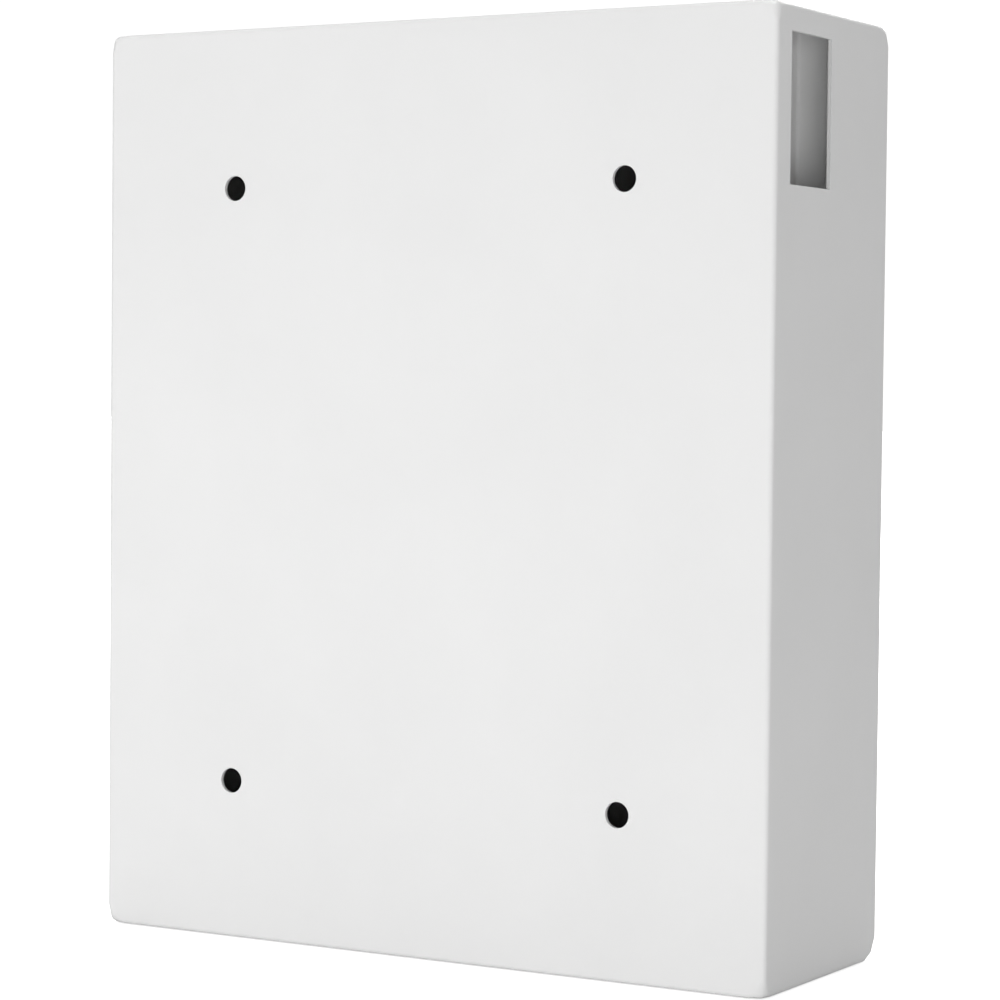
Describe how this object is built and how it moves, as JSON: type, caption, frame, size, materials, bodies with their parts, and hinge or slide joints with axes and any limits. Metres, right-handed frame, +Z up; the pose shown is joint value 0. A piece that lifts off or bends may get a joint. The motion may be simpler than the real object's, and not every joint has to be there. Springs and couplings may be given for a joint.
{
  "type": "key cabinet",
  "caption": "Wall-mounted steel key cabinet with an inset door on pivots, a cam lock, numbered hook bars and a key drop slot with a chute in its side.",
  "frame": {"origin": "centre of the back panel's outer face, the face that lies on the wall", "axes": "+Y out of the back, into the wall; the door faces -Y; +X to the right as seen from the door; +Z up"},
  "size_m": [0.302, 0.1273, 0.365],
  "materials": {
    "white_coat": "fine-textured white powder coat, satin",
    "grey_coat": "smooth light grey powder coat, satin",
    "zinc_steel": "bright zinc plate",
    "lock_chrome": "bright chrome plate on die-cast zinc",
    "key_nickel": "nickel plate on brass, lightly brushed",
    "white_nylon": "natural nylon, satin",
    "black_rubber": "matt moulded rubber",
    "holder_plastic": "pale grey moulded plastic, satin",
    "index_paper": "uncoated card with ruled lines",
    "label_vinyl": "self-adhesive vinyl strip with printed numbers"
  },
  "bodies": {
    "case": {"case_shell": "white_coat", "drop_chute": "white_coat", "upper_pivot_bracket": "zinc_steel", "lower_pivot_bracket": "zinc_steel", "upper_pivot_pin": "zinc_steel", "lower_pivot_pin": "zinc_steel", "lower_pivot_washer": "white_nylon", "upper_door_stop": "white_coat", "lower_door_stop": "white_coat", "upper_stop_bumper": "black_rubber", "lower_stop_bumper": "black_rubber", "left_upright": "grey_coat", "right_upright": "grey_coat", "hook_bar_1": "grey_coat", "hook_bar_2": "grey_coat", "hook_bar_3": "grey_coat", "hook_bar_4": "grey_coat", "hook_bar_5": "grey_coat", "hook_bar_6": "grey_coat", "number_strip_1": "label_vinyl", "number_strip_2": "label_vinyl", "number_strip_3": "label_vinyl", "number_strip_4": "label_vinyl", "number_strip_5": "label_vinyl", "number_strip_6": "label_vinyl"},
    "door": {"door_pan": "white_coat", "upper_pivot_washer": "white_nylon", "card_holder": "holder_plastic", "lock_body": "lock_chrome", "lock_washer": "zinc_steel", "lock_nut": "zinc_steel"},
    "lock": {"lock_plug": "lock_chrome", "lock_cam": "zinc_steel", "cam_screw": "zinc_steel"},
    "key": {"cabinet_key": "key_nickel"},
    "card": {"index_card": "index_paper"}
  },
  "joints": [
    {"name": "door_hinge", "type": "hinge", "parent": "case", "child": "door", "pos_m": [-0.1295, -0.096, 0], "axis": [0, 0, -1], "range_deg": [0, 105]},
    {"name": "lock_turn", "type": "hinge", "parent": "door", "child": "lock", "pos_m": [0.109, -0.1, 0], "axis": [0, -1, 0], "range_deg": [0, 90]},
    {"name": "key_slide", "type": "slide", "parent": "lock", "child": "key", "axis": [0, -1, 0], "range_m": [0, 0.016]},
    {"name": "card_slide", "type": "slide", "parent": "door", "child": "card", "axis": [0, 0, 1], "range_m": [0, 0.09]}
  ]
}
